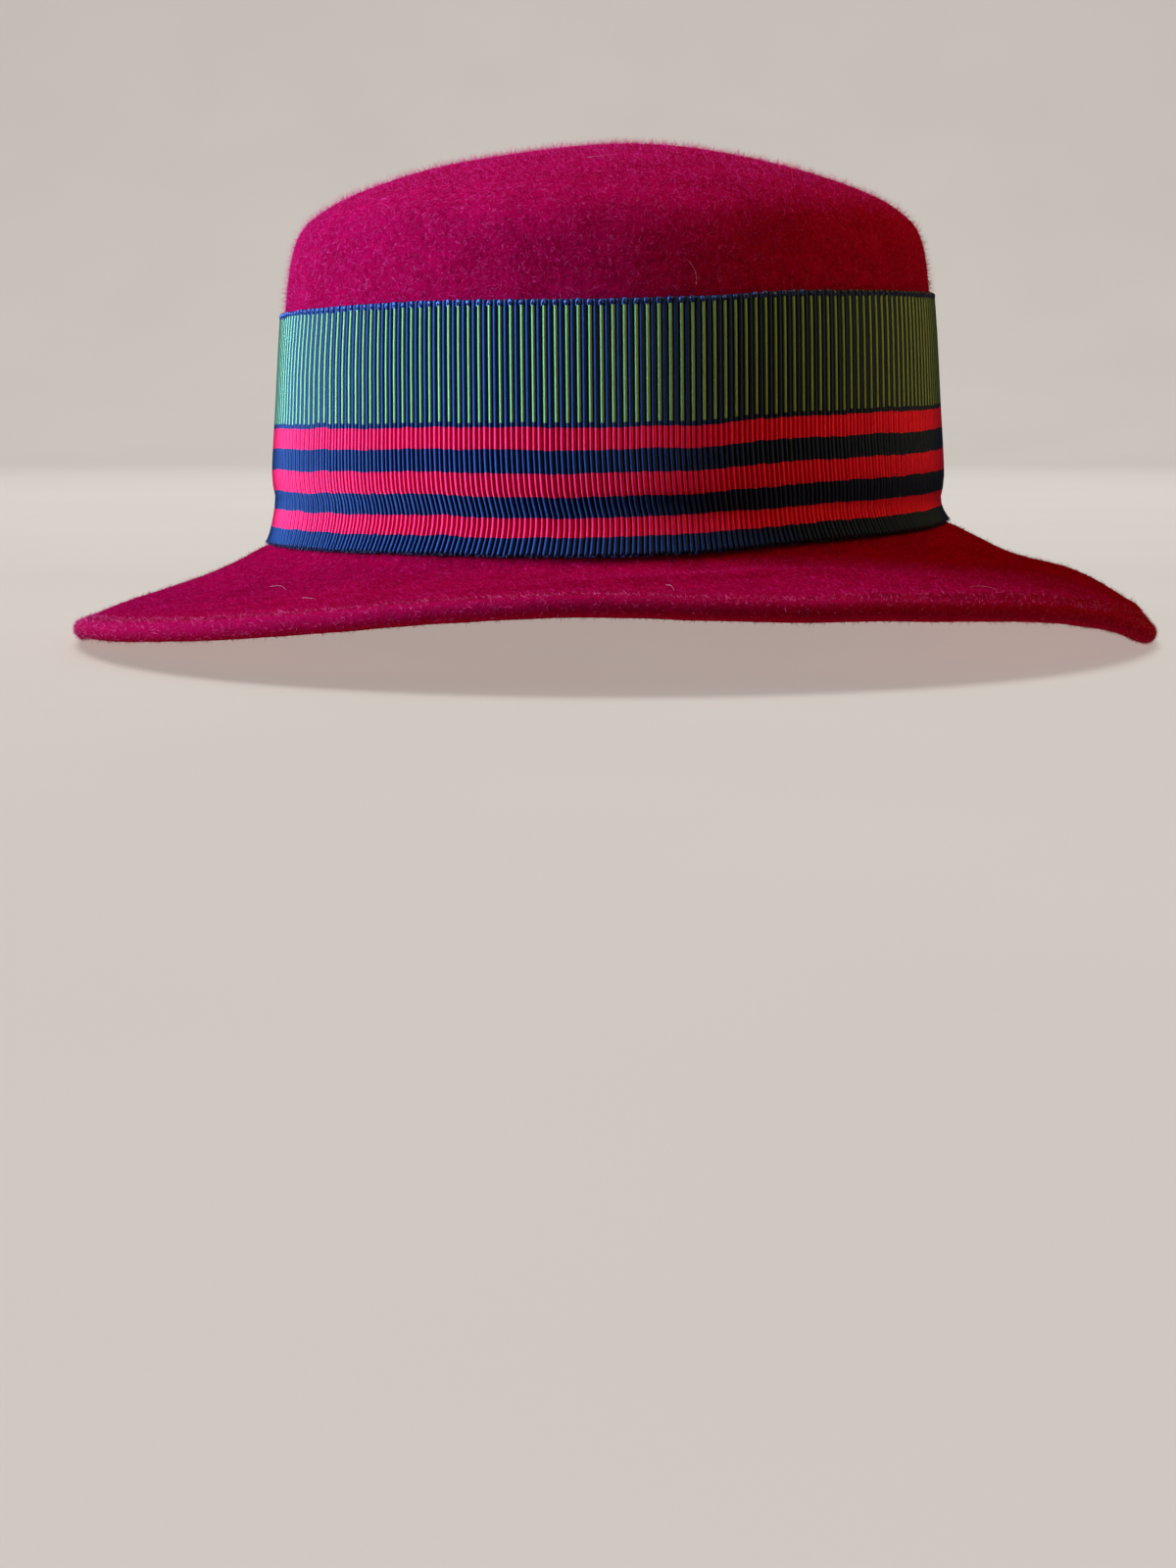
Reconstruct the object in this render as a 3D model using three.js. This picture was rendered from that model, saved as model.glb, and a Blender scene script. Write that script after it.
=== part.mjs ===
// A soft breton-style hat of wool felt with a wide ribbed ribbon round the crown. Millimetres, +Z up.
// The brim rests on the plane z = 0, the front of the hat faces -Y and its right-hand side, seen from the front, is +X.
import * as THREE from "three";

// Felt
const CROWN_HALF_WIDTH = 86.5; // plan half-axes of the crown where it is widest
const CROWN_HALF_LENGTH = 97;
const FELT_THICKNESS = 2.6;
const HEM_WIDTH = 12; // felt turned under along the edge of the brim
const HEM_THICKNESS = 4.8;
const HEM_STEP = 1.2; // how far the cut edge of the hem takes to thin out on the underside

// Ribbon
const RIBBON_WIDTH = 58.5;
const RIBBON_THICKNESS = 1.0;
const RIBBON_GAP = 0.3; // between the felt and the back of the ribbon
const LAP_FROM = 85.8; // azimuths between which the ribbon lies double, at centre back
const LAP_TO = 94.2;
const LAP_RISE = 1.2; // degrees over which the upper layer climbs onto the lower one
const LAP_DROP = 0.25; // degrees taken by its folded end

// Sections of the crown, from the apex down: share of the plan half-axes, height, and how far the section's centre
// lies to the right, because the top leans that way
const CROWN_ROWS = [
  { share: 0.0, height: 127.6, shift: 4.5 },
  { share: 0.3, height: 124.2, shift: 3.5 },
  { share: 0.58, height: 119.0, shift: 2.0 },
  { share: 0.78, height: 112.8, shift: 1.2 },
  { share: 0.882, height: 107.6, shift: 0.5 },
  { share: 0.926, height: 103.2, shift: 0.2 },
  { share: 0.952, height: 95.0, shift: 0 },
  { share: 0.97, height: 81.0, shift: 0 },
  { share: 0.986, height: 61.0, shift: 0 },
  { share: 1.0, height: 43.0, shift: 0 },
  { share: 0.992, height: 36.0, shift: 0 },
];

// Where the named heights of the brim stations lie, as shares of the brim's width
const BRIM_SHARES = { root: 0.045, fillet: 0.12, inner: 0.35, middle: 0.65, outer: 0.86, edge: 1 };

// Stations round the brim. Azimuth 0 is the right-hand side, 90 the back, 180 the left and 270 the front. The other
// columns are the width of the brim, the heights of its upper side, and the height of the felt at the ribbon's foot.
const BRIM_STATIONS = [
  { azimuth: 0, width: 56.2, root: 30.8, fillet: 28.6, inner: 22.4, middle: 17.5, outer: 10.8, edge: 4.0, foot: 30.9 },
  { azimuth: 45, width: 52.4, root: 29.2, fillet: 24.0, inner: 18.6, middle: 13.6, outer: 9.0, edge: 4.2, foot: 28.9 },
  { azimuth: 90, width: 51.4, root: 27.6, fillet: 21.8, inner: 16.0, middle: 11.2, outer: 7.8, edge: 4.3, foot: 27.2 },
  { azimuth: 135, width: 51.0, root: 26.2, fillet: 21.8, inner: 15.8, middle: 11.2, outer: 7.8, edge: 4.3, foot: 25.8 },
  { azimuth: 180, width: 51.7, root: 25.8, fillet: 23.0, inner: 17.1, middle: 11.6, outer: 8.0, edge: 4.4, foot: 25.2 },
  { azimuth: 200, width: 51.0, root: 25.7, fillet: 22.4, inner: 16.9, middle: 12.2, outer: 9.8, edge: 8.2, foot: 25.3 },
  { azimuth: 220, width: 51.2, root: 25.9, fillet: 22.0, inner: 17.6, middle: 14.2, outer: 12.6, edge: 11.4, foot: 25.6 },
  { azimuth: 240, width: 51.6, root: 26.2, fillet: 22.2, inner: 19.8, middle: 17.8, outer: 16.6, edge: 15.8, foot: 26.1 },
  { azimuth: 255, width: 51.8, root: 26.4, fillet: 22.9, inner: 21.3, middle: 20.0, outer: 19.7, edge: 19.8, foot: 26.1 },
  { azimuth: 270, width: 52.0, root: 26.6, fillet: 23.6, inner: 22.6, middle: 21.8, outer: 21.4, edge: 21.4, foot: 26.2 },
  { azimuth: 285, width: 52.2, root: 27.4, fillet: 24.2, inner: 22.8, middle: 21.8, outer: 21.0, edge: 20.1, foot: 27.0 },
  { azimuth: 300, width: 52.4, root: 28.6, fillet: 24.8, inner: 23.0, middle: 21.9, outer: 20.6, edge: 19.0, foot: 28.6 },
  { azimuth: 315, width: 52.8, root: 29.4, fillet: 25.3, inner: 22.6, middle: 21.0, outer: 18.9, edge: 16.7, foot: 29.4 },
  { azimuth: 330, width: 53.6, root: 29.9, fillet: 26.0, inner: 22.0, middle: 19.4, outer: 15.8, edge: 11.8, foot: 30.0 },
  { azimuth: 345, width: 55.4, root: 30.5, fillet: 27.6, inner: 22.2, middle: 18.3, outer: 12.6, edge: 5.5, foot: 30.6 },
];

// Soft ridges (rise above 0) and hollows in the front of the brim: where they are centred, as an azimuth and a share
// of the brim's width, how many degrees and how much of the width they spread over, and how high they stand
const FOLDS = [
  { azimuth: 258, span: 15, share: 0.78, reach: 0.15, rise: 0.5 },
  { azimuth: 288, span: 14, share: 0.4, reach: 0.15, rise: 0.6 },
  { azimuth: 280, span: 18, share: 0.74, reach: 0.16, rise: -0.5 },
  { azimuth: 318, span: 18, share: 0.72, reach: 0.14, rise: -0.4 },
];

// Where the rows of the mesh lie
const DOME_ROW_SHARES = [0.12, 0.28, 0.44, 0.58, 0.68, 0.75, 0.8, 0.85, 0.9, 0.95]; // of the way from apex to ribbon
const RIBBON_ROWS = [0, 14, 28, 40, 48, 52, 55, 57, RIBBON_WIDTH]; // down from the ribbon's upper edge
const BRIM_ROW_SHARES = [0.08, 0.18, 0.3, 0.44, 0.58, 0.72, 0.86, 1]; // of the way from the ribbon's foot to the edge
const UNDERSIDE_SHARES = [0.58, 0.36, 0.18, 0.06]; // of the same way, on the underside inside the hem
const EDGE_ANGLES = [0, 40, 75, 105, 133, 156, 180]; // round the edge, from the upper side to the underside
const STATION_STEP = 6; // degrees between the sections round the hat
const STEPS_PER_ROW = 16; // samples of the smooth profile between two of its given heights
const NUDGE_ANGLE = 0.5; // small steps for the direction of the surface
const NUDGE_LENGTH = 0.5;

// Smooth curve of one column of a station table, continuous all the way round
function roundTable(table, column, azimuth) {
  const count = table.length;
  const angle = ((azimuth % 360) + 360) % 360;
  let start = 0;
  while (start < count - 1 && table[start + 1].azimuth <= angle) {
    start += 1;
  }
  const at = (index) => {
    const turns = Math.floor(index / count);
    const row = table[index - turns * count];
    return { angle: row.azimuth + 360 * turns, value: row[column] };
  };
  const [before, from, to, after] = [start - 1, start, start + 1, start + 2].map(at);
  const length = to.angle - from.angle;
  const share = (angle - from.angle) / length;
  const slopeFrom = ((to.value - before.value) / (to.angle - before.angle)) * length;
  const slopeTo = ((after.value - from.value) / (after.angle - from.angle)) * length;
  const square = share * share;
  const cube = square * share;
  return (
    (2 * cube - 3 * square + 1) * from.value +
    (cube - 2 * square + share) * slopeFrom +
    (3 * square - 2 * cube) * to.value +
    (cube - square) * slopeTo
  );
}

function bell(distance) {
  return Math.exp(-distance * distance);
}

// Height that the folds add to the brim
function foldHeight(azimuth, share) {
  let height = 0;
  for (const fold of FOLDS) {
    height += fold.rise * bell((azimuth - fold.azimuth) / fold.span) * bell((share - fold.share) / fold.reach);
  }
  return height;
}

// Points that the upper side of the felt passes through in one section, from the apex to the edge of the brim
function sectionPoints(azimuth) {
  const angle = THREE.MathUtils.degToRad(azimuth);
  const points = [];
  for (const row of CROWN_ROWS) {
    const x = CROWN_HALF_WIDTH * row.share * Math.cos(angle) + row.shift;
    const y = CROWN_HALF_LENGTH * row.share * Math.sin(angle);
    points.push(new THREE.Vector3(x, y, row.height));
  }
  const rootShare = CROWN_ROWS[CROWN_ROWS.length - 1].share;
  const width = roundTable(BRIM_STATIONS, "width", azimuth);
  for (const [name, share] of Object.entries(BRIM_SHARES)) {
    const x = (CROWN_HALF_WIDTH * rootShare + width * share) * Math.cos(angle);
    const y = (CROWN_HALF_LENGTH * rootShare + width * share) * Math.sin(angle);
    const height = roundTable(BRIM_STATIONS, name, azimuth) + foldHeight(azimuth, share);
    points.push(new THREE.Vector3(x, y, height));
  }
  return points;
}

// Smooth section: its points, their distances from the apex, and where the ribbon lies on it
function makeSection(azimuth) {
  const controls = sectionPoints(azimuth);
  const curve = new THREE.CatmullRomCurve3(controls, false, "catmullrom", 0.5);
  const count = (controls.length - 1) * STEPS_PER_ROW;
  const points = [];
  const distances = [0];
  for (let step = 0; step <= count; step += 1) {
    points.push(curve.getPoint(step / count));
    if (step > 0) {
      distances.push(distances[step - 1] + points[step].distanceTo(points[step - 1]));
    }
  }
  const footHeight = roundTable(BRIM_STATIONS, "foot", azimuth);
  let step = count;
  while (points[step].z < footHeight) {
    step -= 1;
  }
  const drop = (points[step].z - footHeight) / (points[step].z - points[step + 1].z);
  const foot = distances[step] + drop * (distances[step + 1] - distances[step]);
  return { points, distances, foot, ribbonTop: foot - RIBBON_WIDTH, edge: distances[count] };
}

// Point of a section at a distance from the apex; past the ends it goes straight on
function pointAt(section, distance) {
  const last = section.distances.length - 1;
  let step = 0;
  while (step < last - 1 && section.distances[step + 1] < distance) {
    step += 1;
  }
  const length = section.distances[step + 1] - section.distances[step];
  const share = (distance - section.distances[step]) / length;
  return new THREE.Vector3().lerpVectors(section.points[step], section.points[step + 1], share);
}

// Upper side of the felt at one azimuth: for a row, the point, the direction out of the felt and the one towards
// the edge. A row is a function that picks a distance on any section.
function makeStation(azimuth) {
  const section = makeSection(azimuth);
  const before = makeSection(azimuth - NUDGE_ANGLE);
  const after = makeSection(azimuth + NUDGE_ANGLE);
  return (row) => {
    const distance = row(section);
    const point = pointAt(section, distance);
    const ahead = pointAt(section, distance + NUDGE_LENGTH);
    const towardsEdge = ahead.sub(pointAt(section, Math.max(distance - NUDGE_LENGTH, 0))).normalize();
    const round = pointAt(after, row(after)).sub(pointAt(before, row(before))).normalize();
    const outward = new THREE.Vector3().crossVectors(towardsEdge, round).normalize();
    return { point, outward, towardsEdge };
  };
}

// Rows as functions of a section
const domeRow = (share) => (section) => share * section.ribbonTop;
const ribbonRow = (down) => (section) => section.ribbonTop + down;
const brimRow = (share) => (section) => section.foot + share * (section.edge - section.foot);
const hemRow = (inward) => (section) => section.edge - inward;

function offset({ point, outward }, distance) {
  return point.clone().addScaledVector(outward, distance);
}

// The rounded edge of the brim: a half circle of hem thickness below the last row of the upper side
function edgePoint({ point, outward, towardsEdge }, degrees) {
  const radius = HEM_THICKNESS / 2;
  const angle = THREE.MathUtils.degToRad(degrees);
  return point
    .clone()
    .addScaledVector(outward, radius * (Math.cos(angle) - 1))
    .addScaledVector(towardsEdge, radius * Math.sin(angle));
}

// Felt lies flat where it rests, so nothing passes below the plane it stands on
function restOnPlane(point) {
  point.z = Math.max(point.z, 0);
  return point;
}

// Closed surface from rings of equally many points. It ends in a pole at each end, or joins its last ring to its first.
function surfaceFromRings(rings, poles) {
  const count = rings[0].length;
  const positions = rings.flat().flatMap((point) => point.toArray());
  const indices = [];
  const bands = poles ? rings.length - 1 : rings.length;
  for (let band = 0; band < bands; band += 1) {
    const near = band * count;
    const far = ((band + 1) % rings.length) * count;
    for (let i = 0; i < count; i += 1) {
      const j = (i + 1) % count;
      indices.push(near + i, far + i, far + j);
      indices.push(near + i, far + j, near + j);
    }
  }
  if (poles) {
    const firstPole = rings.length * count;
    const lastPole = firstPole + 1;
    const lastRing = (rings.length - 1) * count;
    positions.push(...poles[0].toArray(), ...poles[1].toArray());
    for (let i = 0; i < count; i += 1) {
      const j = (i + 1) % count;
      indices.push(firstPole, i, j);
      indices.push(lastPole, lastRing + j, lastRing + i);
    }
  }
  const geometry = new THREE.BufferGeometry();
  geometry.setAttribute("position", new THREE.Float32BufferAttribute(positions, 3));
  geometry.setIndex(indices);
  geometry.computeVertexNormals();
  return geometry;
}

// Azimuths of the sections round the hat, with extra ones where the ribbon laps
function stationAzimuths() {
  const azimuths = [LAP_FROM - LAP_RISE, LAP_FROM, LAP_TO, LAP_TO + LAP_DROP];
  for (let azimuth = 0; azimuth < 360; azimuth += STATION_STEP) {
    azimuths.push(azimuth);
  }
  return azimuths.sort((a, b) => a - b);
}

function makeFelt(stations) {
  const ring = (place) => stations.map((station) => restOnPlane(place(station)));
  const outerRows = [
    ...DOME_ROW_SHARES.map(domeRow),
    ...RIBBON_ROWS.map(ribbonRow),
    ...BRIM_ROW_SHARES.slice(0, -1).map(brimRow),
  ];
  const innerRows = [
    ...UNDERSIDE_SHARES.map(brimRow),
    ...RIBBON_ROWS.filter((row, index) => index % 2 === 0).reverse().map(ribbonRow),
    ...DOME_ROW_SHARES.slice().reverse().map(domeRow),
  ];
  const edge = hemRow(0);
  const rings = [
    ...outerRows.map((row) => ring((station) => station(row).point)),
    ...EDGE_ANGLES.map((degrees) => ring((station) => edgePoint(station(edge), degrees))),
    ring((station) => offset(station(hemRow(HEM_WIDTH / 2)), -HEM_THICKNESS)),
    ring((station) => offset(station(hemRow(HEM_WIDTH)), -HEM_THICKNESS)),
    ring((station) => offset(station(hemRow(HEM_WIDTH + HEM_STEP)), -FELT_THICKNESS)),
    ...innerRows.map((row) => ring((station) => offset(station(row), -FELT_THICKNESS))),
  ];
  const apex = new THREE.Vector3(CROWN_ROWS[0].shift, 0, CROWN_ROWS[0].height);
  const innerApex = apex.clone().setZ(apex.z - FELT_THICKNESS);
  return surfaceFromRings(rings, [apex, innerApex]);
}

// The ribbon lies double across the lap
function ribbonLayers(azimuth) {
  const doubled = azimuth >= LAP_FROM && azimuth <= LAP_TO;
  return doubled ? 2 : 1;
}

function makeRibbon(stations, azimuths) {
  const rows = RIBBON_ROWS.map(ribbonRow);
  const outerFace = (station, index) => RIBBON_GAP + RIBBON_THICKNESS * ribbonLayers(azimuths[index]);
  const rings = [
    ...rows.map((row) => stations.map((station, index) => offset(station(row), outerFace(station, index)))),
    ...rows.slice().reverse().map((row) => stations.map((station) => offset(station(row), RIBBON_GAP))),
  ];
  return surfaceFromRings(rings, null);
}

function makeMesh(name, geometry, color, roughness) {
  const material = new THREE.MeshStandardMaterial({ color, roughness, metalness: 0 });
  const mesh = new THREE.Mesh(geometry, material);
  mesh.name = name;
  return mesh;
}

const azimuths = stationAzimuths();
const stations = azimuths.map(makeStation);
const felt = makeFelt(stations);
const ribbon = makeRibbon(stations, azimuths);

// The footprint is centred on the origin
felt.computeBoundingBox();
const centre = felt.boundingBox.getCenter(new THREE.Vector3());
felt.translate(-centre.x, -centre.y, 0);
ribbon.translate(-centre.x, -centre.y, 0);

const hat = new THREE.Group();
hat.name = "breton_hat";
hat.add(makeMesh("felt_body", felt, 0x960537, 0.95));
hat.add(makeMesh("ribbon_band", ribbon, 0x22305a, 0.6));

export default hat;
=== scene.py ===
"""The looks of a soft breton-style hat: wool felt with a wide ribbed ribbon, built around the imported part.

The hat's own sizes are in millimetres and degrees, and turn into metres where a mesh is made. Azimuth 0 is
the right-hand side of the hat seen from the front, 90 the back, 180 the left and 270 the front. Distances
run over the upper side of the felt, from the apex towards the edge of the brim.
"""

import math

import bpy
import numpy as np
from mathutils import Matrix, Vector


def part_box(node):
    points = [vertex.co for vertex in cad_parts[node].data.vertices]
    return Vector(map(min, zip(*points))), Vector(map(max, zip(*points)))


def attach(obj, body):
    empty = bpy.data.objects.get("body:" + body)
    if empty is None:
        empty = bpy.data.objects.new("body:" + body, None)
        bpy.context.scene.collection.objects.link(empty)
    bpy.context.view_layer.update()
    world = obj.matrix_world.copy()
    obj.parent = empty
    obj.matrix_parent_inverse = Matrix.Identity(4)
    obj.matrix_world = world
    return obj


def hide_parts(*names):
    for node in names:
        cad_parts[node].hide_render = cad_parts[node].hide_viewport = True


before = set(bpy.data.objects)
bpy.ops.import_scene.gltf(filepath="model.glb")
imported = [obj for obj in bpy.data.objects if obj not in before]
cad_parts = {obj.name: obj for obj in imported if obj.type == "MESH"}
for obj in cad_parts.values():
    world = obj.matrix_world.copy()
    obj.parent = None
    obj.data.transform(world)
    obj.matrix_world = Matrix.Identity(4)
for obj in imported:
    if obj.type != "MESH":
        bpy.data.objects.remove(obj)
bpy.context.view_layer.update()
MM = 0.001


def table(columns, *rows):
    """Rows of values that go by the names of their columns."""
    names = columns.split()
    return [dict(zip(names, row)) for row in rows]


# Felt, as in the part
CROWN_HALF_WIDTH = 86.5
CROWN_HALF_LENGTH = 97
FELT_THICKNESS = 2.6
HEM_WIDTH = 12
HEM_THICKNESS = 4.8
HEM_STEP = 1.2  # distance over which the turned-under felt ends

# Underside of the hem: distances inwards from the edge, and how thick the felt is there
HEM_INWARDS = (2, 4, 6, 8, 10, 11.3, HEM_WIDTH, HEM_WIDTH + 0.5 * HEM_STEP, HEM_WIDTH + HEM_STEP)
HEM_DEPTHS = (HEM_THICKNESS,) * 5 + (4.7, 4.3, 3.2, FELT_THICKNESS)

# Ribbon, as in the part
RIBBON_WIDTH = 58.5
RIBBON_THICKNESS = 1.0
RIBBON_GAP = 0.3

# Lap of the ribbon's ends: its azimuths, and the degrees that the upper layer takes to climb on and to end
LAP_FROM = 85.8
LAP_TO = 94.2
LAP_RISE = 1.2
LAP_DROP = 0.25
# A line of painted shade darkens the ribbon's cut end, whose face turns towards the window
LAP_END_WIDTH = 0.5  # half the width of the shaded line at the cut end

# Sections of the crown, from the apex down: share of the plan's half-axes, height, and shift of the
# section's centre
CROWN_ROWS = table(
    "share height shift",
    (0.0, 127.6, 4.5),
    (0.3, 124.2, 3.5),
    (0.58, 119.0, 2.0),
    (0.78, 112.8, 1.2),
    (0.882, 107.6, 0.5),
    (0.926, 103.2, 0.2),
    (0.952, 95.0, 0),
    (0.97, 81.0, 0),
    (0.986, 61.0, 0),
    (1.0, 43.0, 0),
    (0.992, 36.0, 0),
)

# Where the named heights of the brim stations lie, as shares of the brim's width
BRIM_SHARES = {"root": 0.045, "fillet": 0.12, "inner": 0.35, "middle": 0.65, "outer": 0.86, "edge": 1}

# Stations round the brim: its width, the heights of its upper side, and the height of the ribbon's foot
BRIM_STATIONS = table(
    "azimuth width root fillet inner middle outer edge foot",
    (0, 56.2, 30.8, 28.6, 22.4, 17.5, 10.8, 4.0, 30.9),
    (45, 52.4, 29.2, 24.0, 18.6, 13.6, 9.0, 4.2, 28.9),
    (90, 51.4, 27.6, 21.8, 16.0, 11.2, 7.8, 4.3, 27.2),
    (135, 51.0, 26.2, 21.8, 15.8, 11.2, 7.8, 4.3, 25.8),
    (180, 51.7, 25.8, 23.0, 17.1, 11.6, 8.0, 4.4, 25.2),
    (200, 51.0, 25.7, 22.4, 16.9, 12.2, 9.8, 8.2, 25.3),
    (220, 51.2, 25.9, 22.0, 17.6, 14.2, 12.6, 11.4, 25.6),
    (240, 51.6, 26.2, 22.2, 19.8, 17.8, 16.6, 15.8, 26.1),
    (255, 51.8, 26.4, 22.9, 21.3, 20.0, 19.7, 19.8, 26.1),
    (270, 52.0, 26.6, 23.6, 22.6, 21.8, 21.4, 21.4, 26.2),
    (285, 52.2, 27.4, 24.2, 22.8, 21.8, 21.0, 20.1, 27.0),
    (300, 52.4, 28.6, 24.8, 23.0, 21.9, 20.6, 19.0, 28.6),
    (315, 52.8, 29.4, 25.3, 22.6, 21.0, 18.9, 16.7, 29.4),
    (330, 53.6, 29.9, 26.0, 22.0, 19.4, 15.8, 11.8, 30.0),
    (345, 55.4, 30.5, 27.6, 22.2, 18.3, 12.6, 5.5, 30.6),
)

# Soft folds of the brim, as in the part
FOLDS = table(
    "azimuth span share reach rise",
    (258, 15, 0.78, 0.15, 0.5),
    (288, 14, 0.4, 0.15, 0.6),
    (280, 18, 0.74, 0.16, -0.5),
    (318, 18, 0.72, 0.14, -0.4),
)

# Finer ridges in the front of the brim. The lines that they follow are shares of the brim's width at
# azimuths. A ridge reaches inwards and outwards from its line, and dies out at its ends
BOWED_LINE = {248: 0.86, 256: 0.74, 264: 0.63, 276: 0.48, 290: 0.37, 300: 0.43, 307: 0.62, 313: 0.86}
EDGE_LINE = {288: 0.94, 300: 0.93, 315: 0.925, 330: 0.93, 345: 0.91, 362: 0.88, 372: 0.88}
RIDGES = table(
    "line inside outside rise",
    (BOWED_LINE, 6.0, 3.2, 1.25),
    (EDGE_LINE, 3.0, 2.2, 0.75),
)
RIDGE_FADE = 9

# Soft unevenness of the felt. The seat under the ribbon is left even: it begins above the brim and ends on
# it, at these shares of the brim's width, and the ridges begin where it ends
UNEVENNESS = table(
    "rise size seed",
    (0.14, 38, 1),
    (0.05, 13, 2),
)
LUMP_WAVES = 24
SEAT_BEGINS = {"at": -1.2, "over": 0.2}
SEAT_ENDS = {"at": 0.12, "over": 0.15}

# Rows and columns of the fine felt
FELT_COLUMNS = 480
FELT_DOME_ROWS = 46
FELT_RIBBON_ROWS = 12
FELT_BRIM_ROWS = 58
RIM_ROWS = 5  # rows of the brim's upper side that the fuzz of the rim covers too
EDGE_STEPS = 12
UNDERSIDE_ROWS = 14
INNER_RIBBON_ROWS = 8
INNER_DOME_ROWS = 16
UNDERSIDE_MARGIN = 0.03  # share of the brim's width left free at both ends of the underside's rows
STEPS_PER_ROW = 16  # steps of a smooth curve between two of its points
NUDGE = 0.5  # distance over which directions along the felt are measured

# Fibres that stand on the felt: nap that bends over and straight loose fluff. They rise out of the felt and
# are combed towards the edge by these shares of their length
NAPS = table(
    "name part count length radius rise comb bent seed",
    ("nap_crown", "crown", 11000, 1.2, 0.055, 0.35, 0.1, True, 11),
    ("fluff_crown", "crown", 28000, 2.0, 0.032, 1.2, 0.1, False, 14),
    ("nap_brim", "brim", 12000, 1.2, 0.055, 0.3, 0.3, True, 12),
    ("fluff_brim", "brim", 17000, 1.4, 0.035, 0.7, 0.3, False, 15),
    ("nap_rim", "rim", 9500, 1.2, 0.05, 0.35, 0.3, True, 13),
    ("fluff_rim", "rim", 14000, 1.3, 0.04, 0.6, 0.3, False, 16),
)
FIBRE_ROOT = 0.12  # how deep a fibre begins in the felt
FIBRE_TIP = 0.4  # share of its radius left at the tip
FIBRE_STRAY = 0.6  # how far a bent fibre's tip turns aside
FIBRE_LIFT = 0.15
FIBRE_CLEARANCE = 0.08  # how high the fibres stay above what the hat rests on

# Long stray hairs: where each begins, its heading from 0 along growing azimuth to 90 towards the edge, how
# far it curls in radians, and its height over the felt
HAIR_RADIUS = 0.035
HAIR_STEPS = 14
HAIR_LIFT = 0.35
STRAY_SEED = 31
STRAY_HAIRS = table(
    "azimuth distance heading length curl lift",
    (219, 189, 12, 12, 0.5, 0.3),
    (233, 202, 25, 8, -0.6, 0.3),
    (276, 203, 86, 9, 0.3, 0.4),
    (282, 104, 70, 7, 1.2, 0.3),
    (308, 208, 20, 7, 1.0, 0.4),
    (262, 60, -30, 8, -1.4, 0.3),
    (100, 200, 200, 10, 0.9, 0.4),
    (20, 80, 130, 8, -1.1, 0.3),
)

# Ribs of the ribbon: a green and a navy one make a pair
PAIR_COUNT = 217
GREEN_SHARE = 0.44
RIB_STEPS = (0.0, 0.05, 0.15, 0.3, 0.5, 0.7, 0.85, 0.95)  # places across one rib
RIB_RISE = 0.8

# Rings of the ribbon: distances below its upper edge, down the ribbed front and up the plain back
RIBBON_ROWS = (0, 0.3, 1.1, 5, 10, 16, 22, 27.7, 31, 34, 37, 40, 43, 46, 49, 51.5, 54, 56, 57.4, 58.1, 58.5)
RIBBON_BACK_ROWS = (58.5, 55, 47, 34, 16, 0)
RIBBON_EDGE_SHARE = 0.6  # thickness left at the two edges
RIBBON_COLUMNS = 1440  # sections of the felt under the ribbon

# Thread loops along the upper edge, one for each pair of ribs, that begin at a depth in the ribbon and bulge
# out of it, and frayed warp ends along the lower edge
LOOPS = {"seed": 21, "offset": 0.22, "down": 1.15, "depth": 0.42, "width": 0.7, "height": 0.9, "bulge": 0.12}
LOOP_RADII = 0.5 * np.array([0.7, 1, 1, 1, 1, 1, 1, 0.7])
LOOP_CURL = 0.35  # how far a loop goes round beyond half a circle, in radians at either foot
FRINGE = {"seed": 22, "per_pair": 9, "down": 58.2, "length": 1.1}
FRINGE_RADII = 0.09 * np.array([1.0, 1.0, 0.5])

# Stripes of the ribbon: where each begins below the upper edge
STRIPES = table(
    "begins colour",
    (0.0, "navy"),
    (1.35, "green"),
    (27.7, "navy"),
    (28.8, "red"),
    (33.8, "navy"),
    (39.0, "red"),
    (44.1, "navy"),
    (49.2, "red"),
    (53.9, "navy"),
    # near black along the last half millimetre of the lower edge
    (58.0, "frayed"),
)
RIBBON_COLOURS = {
    "frayed": (0.001, 0.004, 0.02),
    "navy": (0.003, 0.031, 0.1),
    "green": (0.23, 0.48, 0.14),
    "red": (0.98, 0.004, 0.07),
}

# Painted shade: shares of the ribbon's colours that are left in the grooves between the ribs, in those of
# the red stripes and at the ribbon's cut end
DARK_GROOVE = 0.06
RED_GROOVE = 0.95
CUT_END_SHADE = 0.08
GROOVE_FROM = 0.62  # where a groove begins and is darkest, from a rib's middle at 0 to its edge at 1
GROOVE_TO = 0.96
THREAD_PITCH = 0.17

# How far the ribs have slipped sideways, towards growing azimuth, at distances below the upper edge
SLIP_DOWN = (0, 34, 40, 43, 46, 49, 52, 58.5)
SLIP = (0, 0, 0.35, 0.6, 1.1, 1.7, 1.8, 1.8)

# The ribs of the front stay parallel where the crown widens, so they lean towards the middle of the front
LEAN = 2.3
LEAN_MIDDLE = 278
LEAN_DOWN = (0, 34, 50, 53, 58.5)
LEAN_SHARE = (0, 1, 1.2, 1.1, 0.3)

# On the far left they stay upright, and bow backwards in the upper half
UPRIGHT = {"azimuth": 195, "span": 22, "share": 1.4}
BOW = {"azimuth": 203, "span": 22, "size": 0.9, "down": 30}


def unit(vectors):
    """Vectors of length 1 in the same directions."""
    return vectors / np.maximum(np.linalg.norm(vectors, axis=-1, keepdims=True), 1e-12)


def headings(draw, count):
    """Random directions."""
    return unit(draw.normal(size=(count, 3)))


def bell(distance):
    """Smooth hump of height 1 round 0."""
    return np.exp(-distance * distance)


def ease(share):
    """Smooth step from 0 to 1."""
    share = np.clip(share, 0, 1)
    return share * share * (3 - 2 * share)


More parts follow.
